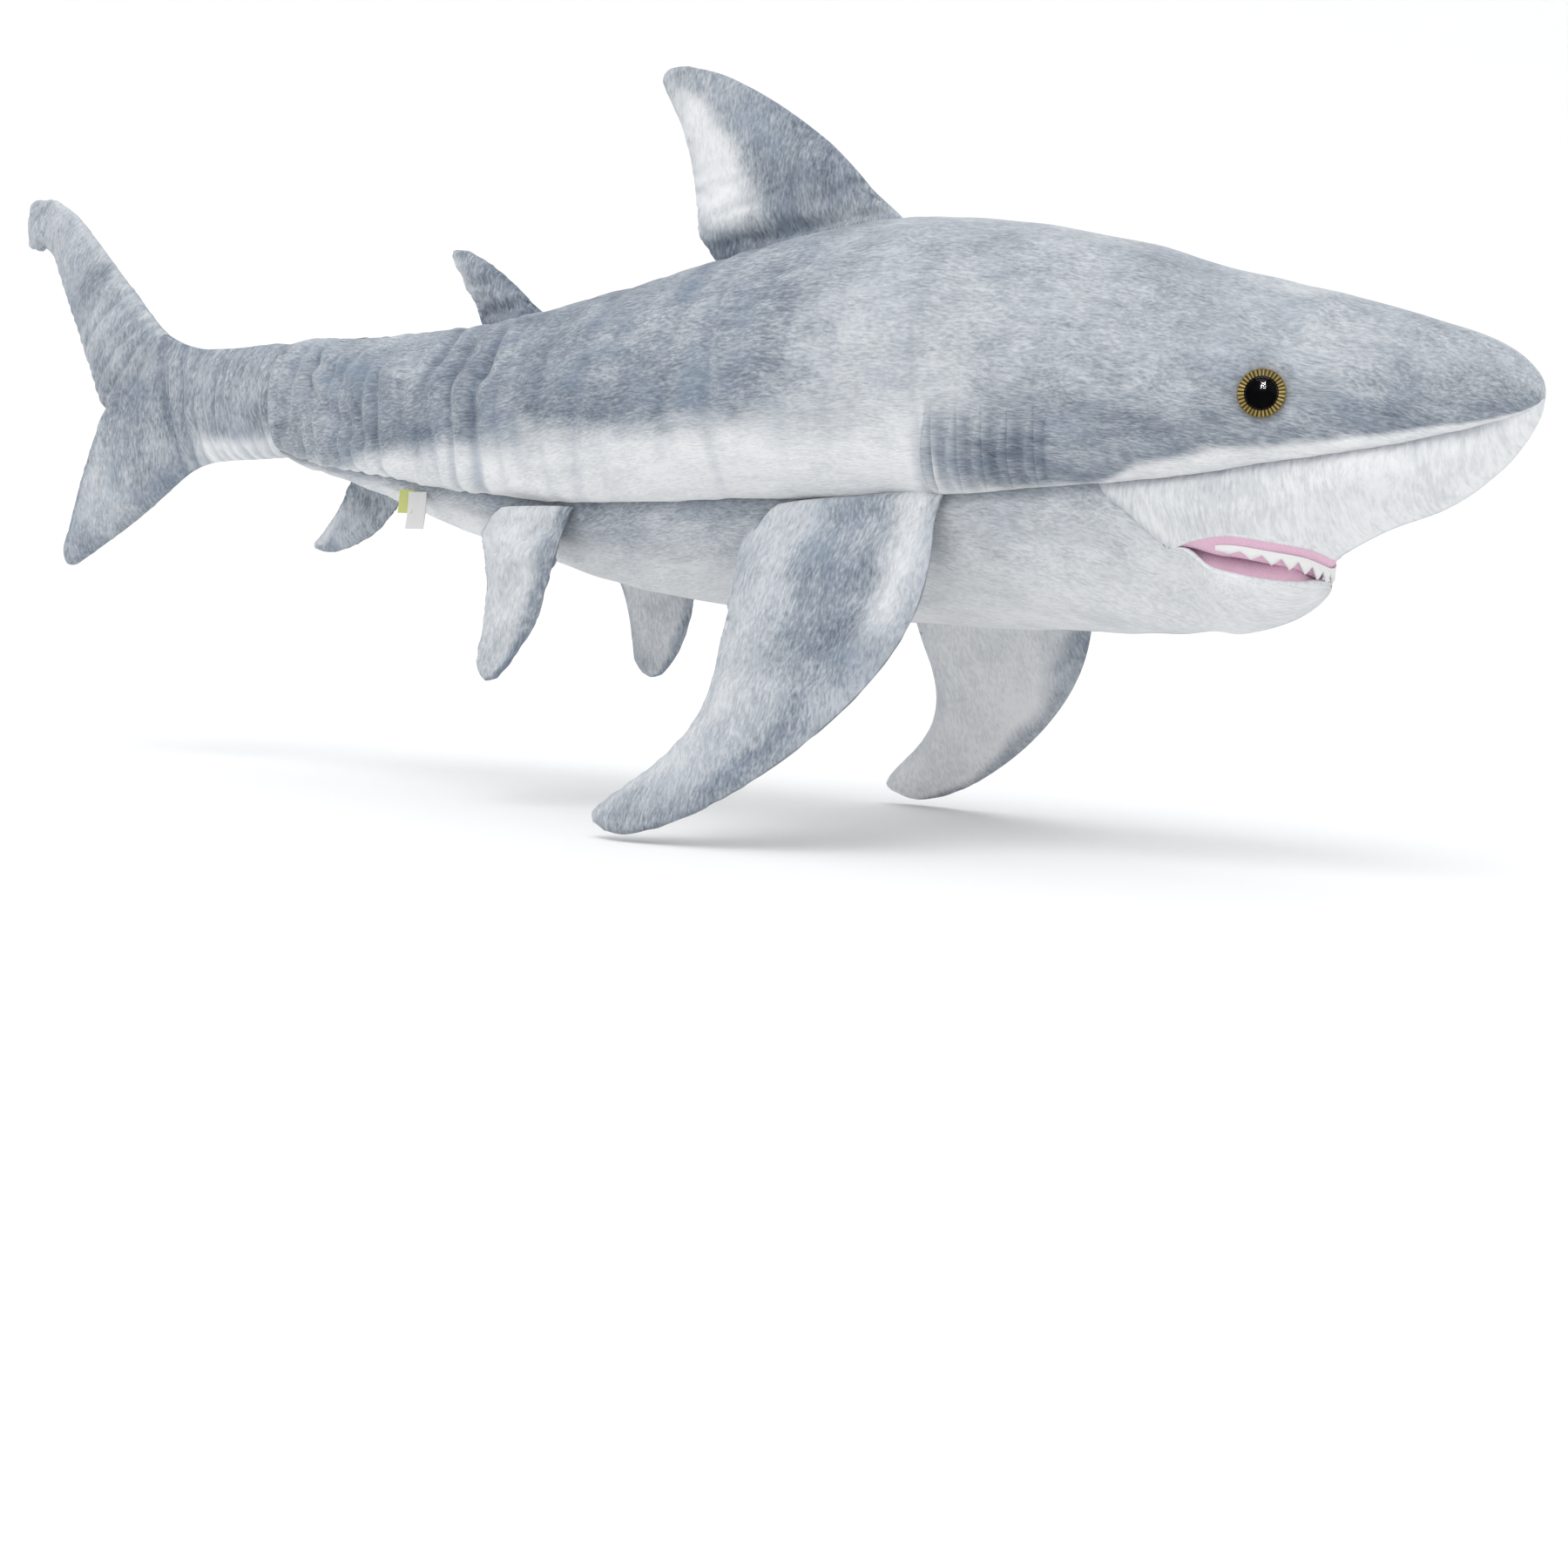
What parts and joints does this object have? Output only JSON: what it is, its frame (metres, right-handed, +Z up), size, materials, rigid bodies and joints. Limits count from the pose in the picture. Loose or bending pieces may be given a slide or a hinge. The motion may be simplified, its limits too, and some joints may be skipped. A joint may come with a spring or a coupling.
{
  "type": "plush shark",
  "caption": "Stuffed toy shark, swimming pose: sewn plush body with belly seam, gilled sides, open toothed mouth, glossy eyes, side fins and a swept forked tail.",
  "frame": {"origin": "middle of the bounding box in plan, on the plane of its lowest point, the pectoral fin tips", "axes": "+X towards the nose, +Y to the shark's left, +Z up through the dorsal fin"},
  "size_m": [1.0687, 0.3018, 0.4117],
  "materials": {
    "blue_grey_plush": "short brushed pile, mottled blue-grey",
    "pale_plush": "short brushed pile, off-white",
    "mouth_lining": "smooth woven pink cloth",
    "white_felt": "flat white felt",
    "fibre_filling": "loose white polyester fibre",
    "black_plastic": "polished black plastic",
    "gold_iris": "gold ring with fine spokes",
    "clear_dome": "clear polished dome",
    "white_plastic": "plain moulded washer",
    "label_white": "smooth satin ribbon",
    "label_yellow": "smooth satin ribbon"
  },
  "bodies": {
    "body": {"right_side_panel": "blue_grey_plush", "left_side_panel": "blue_grey_plush", "belly_panel": "pale_plush", "snout_panel": "pale_plush", "palate_lining": "mouth_lining", "teeth_strip": "white_felt", "right_gill_pleats": "blue_grey_plush", "left_gill_pleats": "blue_grey_plush", "body_stuffing": "fibre_filling", "right_eye_back": "black_plastic", "right_eye_iris": "gold_iris", "right_eye_pupil": "black_plastic", "right_eye_lens": "clear_dome", "right_eye_washer": "white_plastic", "left_eye_back": "black_plastic", "left_eye_iris": "gold_iris", "left_eye_pupil": "black_plastic", "left_eye_lens": "clear_dome", "left_eye_washer": "white_plastic", "care_label": "label_white", "size_tab": "label_yellow"},
    "jaw": {"jaw_panel": "pale_plush", "jaw_lining": "mouth_lining", "jaw_stuffing": "fibre_filling"},
    "dorsal": {"dorsal_right_panel": "blue_grey_plush", "dorsal_left_panel": "blue_grey_plush", "dorsal_stuffing": "fibre_filling"},
    "second_dorsal": {"second_dorsal_right_panel": "blue_grey_plush", "second_dorsal_left_panel": "blue_grey_plush", "second_dorsal_stuffing": "fibre_filling"},
    "anal": {"anal_right_panel": "blue_grey_plush", "anal_left_panel": "blue_grey_plush", "anal_stuffing": "fibre_filling"},
    "right_pectoral": {"right_pectoral_outer_panel": "blue_grey_plush", "right_pectoral_inner_panel": "pale_plush", "right_pectoral_stuffing": "fibre_filling"},
    "left_pectoral": {"left_pectoral_outer_panel": "blue_grey_plush", "left_pectoral_inner_panel": "pale_plush", "left_pectoral_stuffing": "fibre_filling"},
    "right_pelvic": {"right_pelvic_outer_panel": "pale_plush", "right_pelvic_inner_panel": "pale_plush", "right_pelvic_stuffing": "fibre_filling"},
    "left_pelvic": {"left_pelvic_outer_panel": "pale_plush", "left_pelvic_inner_panel": "pale_plush", "left_pelvic_stuffing": "fibre_filling"},
    "tail": {"tail_right_panel": "blue_grey_plush", "tail_left_panel": "blue_grey_plush", "tail_stuffing": "fibre_filling"},
    "upper_lobe": {"upper_lobe_right_panel": "blue_grey_plush", "upper_lobe_left_panel": "blue_grey_plush", "upper_lobe_stuffing": "fibre_filling"},
    "tail_tip": {"tail_tip_right_panel": "blue_grey_plush", "tail_tip_left_panel": "blue_grey_plush", "tail_tip_stuffing": "fibre_filling"}
  },
  "joints": [
    {"name": "jaw_hinge", "type": "hinge", "parent": "body", "child": "jaw", "pos_m": [0.3769, 0, 0.1152], "axis": [0, 1, 0], "range_deg": [-1, 12], "stiffness_Nm_per_rad": 0.3},
    {"name": "tail_seam", "type": "hinge", "parent": "body", "child": "tail", "pos_m": [-0.2354, 0, 0.2312], "axis": [0, 0, 1], "range_deg": [-10, 10], "stiffness_Nm_per_rad": 8},
    {"name": "upper_lobe_fold", "type": "hinge", "parent": "tail", "child": "upper_lobe", "pos_m": [-0.3601, -0.0204, 0.25], "axis": [0.6457, 0.1359, 0.7514], "range_deg": [-15, 15], "stiffness_Nm_per_rad": 0.8},
    {"name": "tail_tip_fold", "type": "hinge", "parent": "upper_lobe", "child": "tail_tip", "pos_m": [-0.4889, 0.0199, 0.3553], "axis": [-0.0088, 0.2511, 0.9679], "range_deg": [-20, 20], "stiffness_Nm_per_rad": 0.03},
    {"name": "dorsal_root", "type": "hinge", "parent": "body", "child": "dorsal", "pos_m": [0.1363, 0, 0.3164], "axis": [0.9864, 0, 0.1641], "range_deg": [-20, 20], "stiffness_Nm_per_rad": 0.6},
    {"name": "second_dorsal_root", "type": "hinge", "parent": "body", "child": "second_dorsal", "pos_m": [-0.0637, 0, 0.2812], "axis": [0.9936, 0, 0.1129], "range_deg": [-20, 20], "stiffness_Nm_per_rad": 0.04},
    {"name": "anal_root", "type": "hinge", "parent": "body", "child": "anal", "pos_m": [-0.1657, 0, 0.1714], "axis": [0.9727, 0, -0.2321], "range_deg": [-20, 20], "stiffness_Nm_per_rad": 0.04},
    {"name": "left_pectoral_root", "type": "hinge", "parent": "body", "child": "left_pectoral", "pos_m": [0.2179, 0.0686, 0.167], "axis": [0.999, 0.0242, 0.0388], "range_deg": [-12, 30], "stiffness_Nm_per_rad": 8},
    {"name": "right_pectoral_root", "type": "hinge", "parent": "body", "child": "right_pectoral", "pos_m": [0.2179, -0.0686, 0.167], "axis": [-0.999, 0.0242, -0.0388], "range_deg": [-12, 30], "stiffness_Nm_per_rad": 8},
    {"name": "left_pelvic_root", "type": "hinge", "parent": "body", "child": "left_pelvic", "pos_m": [0.0046, 0.0578, 0.1608], "axis": [0.9888, 0.1459, -0.0324], "range_deg": [-8, 35], "stiffness_Nm_per_rad": 1},
    {"name": "right_pelvic_root", "type": "hinge", "parent": "body", "child": "right_pelvic", "pos_m": [0.0046, -0.0578, 0.1608], "axis": [-0.9888, 0.1459, 0.0324], "range_deg": [-8, 35], "stiffness_Nm_per_rad": 1}
  ]
}
